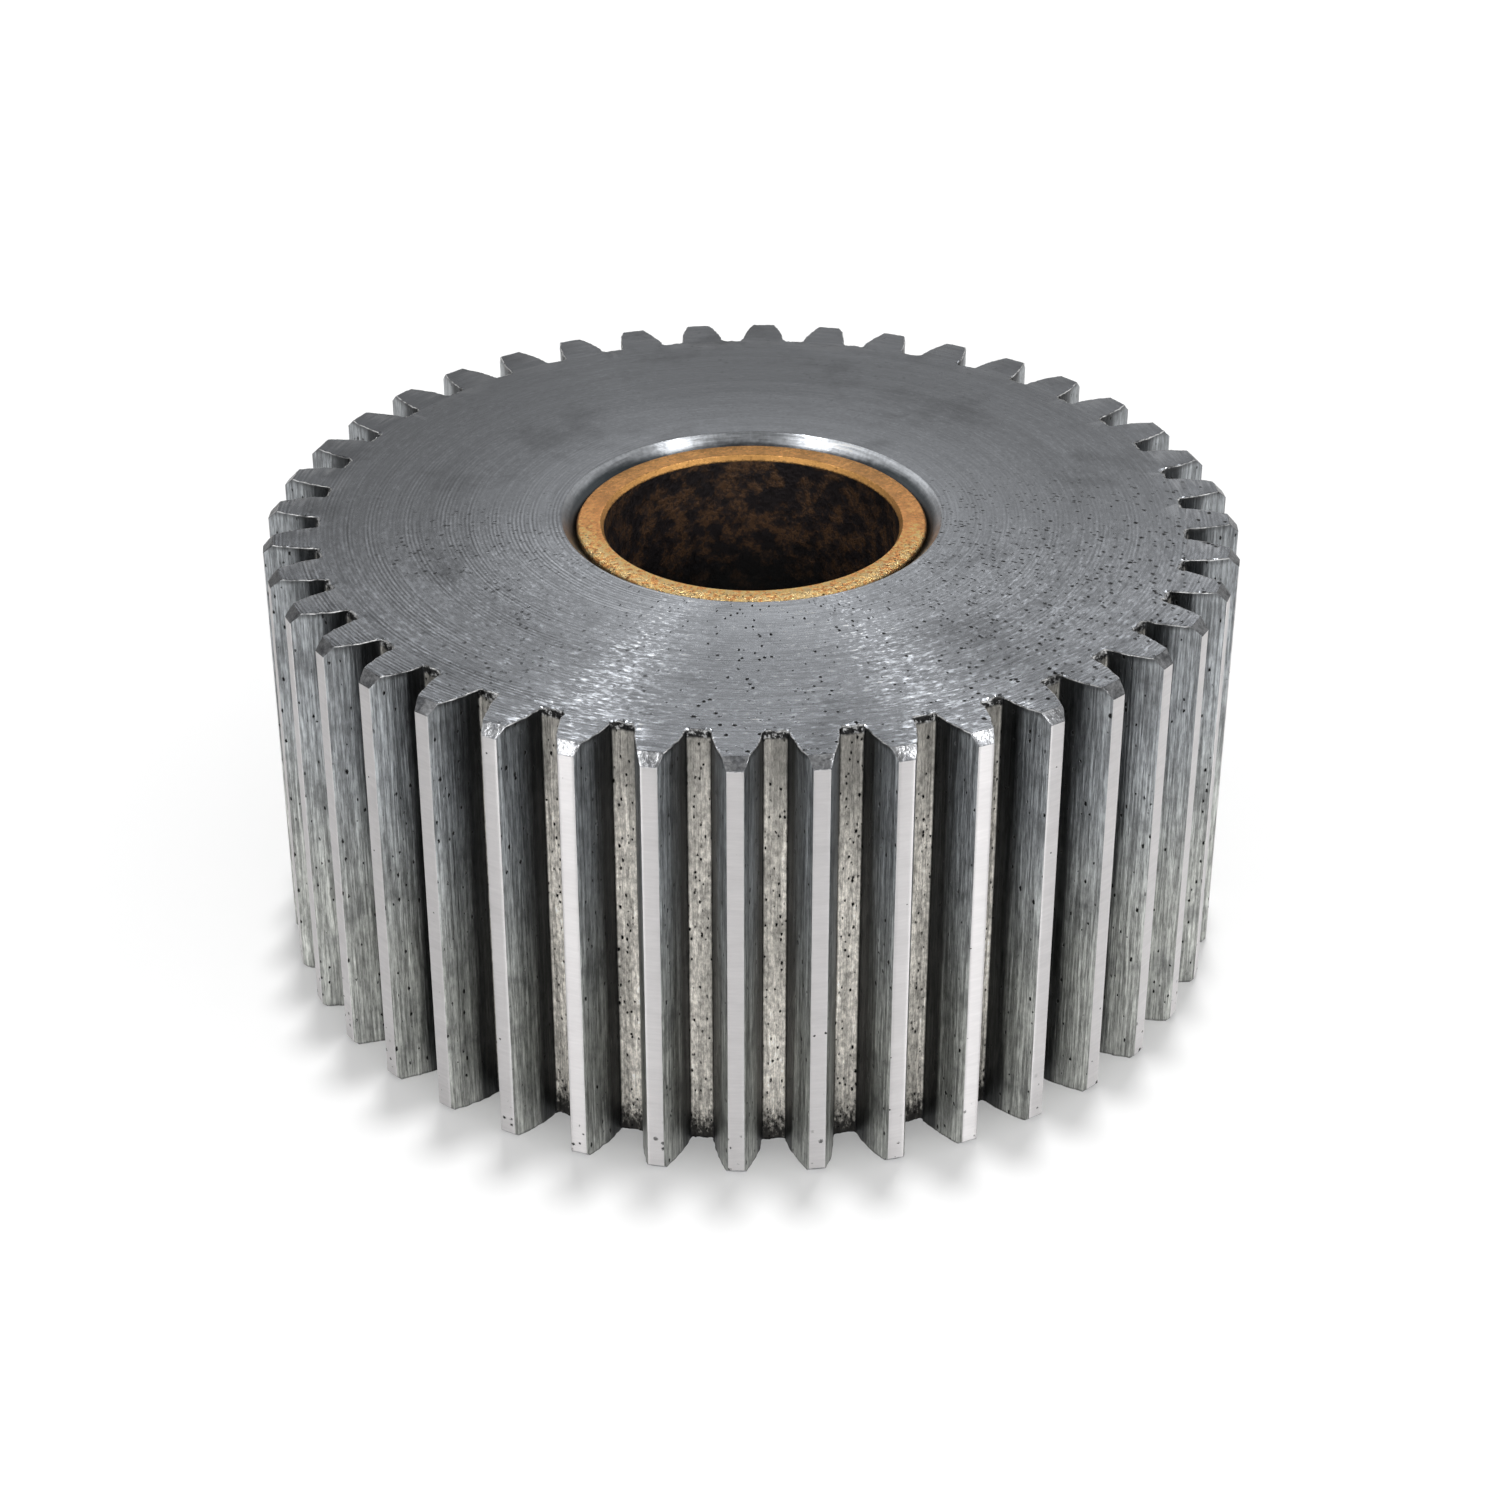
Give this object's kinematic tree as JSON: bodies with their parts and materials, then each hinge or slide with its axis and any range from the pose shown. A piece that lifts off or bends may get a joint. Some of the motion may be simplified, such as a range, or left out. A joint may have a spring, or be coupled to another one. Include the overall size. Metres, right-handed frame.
{
  "type": "spur gear",
  "caption": "Straight-toothed steel gear with a pressed-in bronze bush, for running freely on a plain shaft or pin.",
  "frame": {"origin": "centre of the lower face, on the bore's axis", "axes": "+Z along the bore from the lower face to the upper face; one tooth is centred on -Y"},
  "size_m": [0.105, 0.105, 0.049],
  "materials": {
    "gear_steel": "turned and cut bare steel, satin",
    "bush_bronze": "sintered bronze, satin ends, oil-darkened bore"
  },
  "bodies": {
    "root": {"spur_gear": "gear_steel", "bronze_bush": "bush_bronze"}
  },
  "joints": []
}
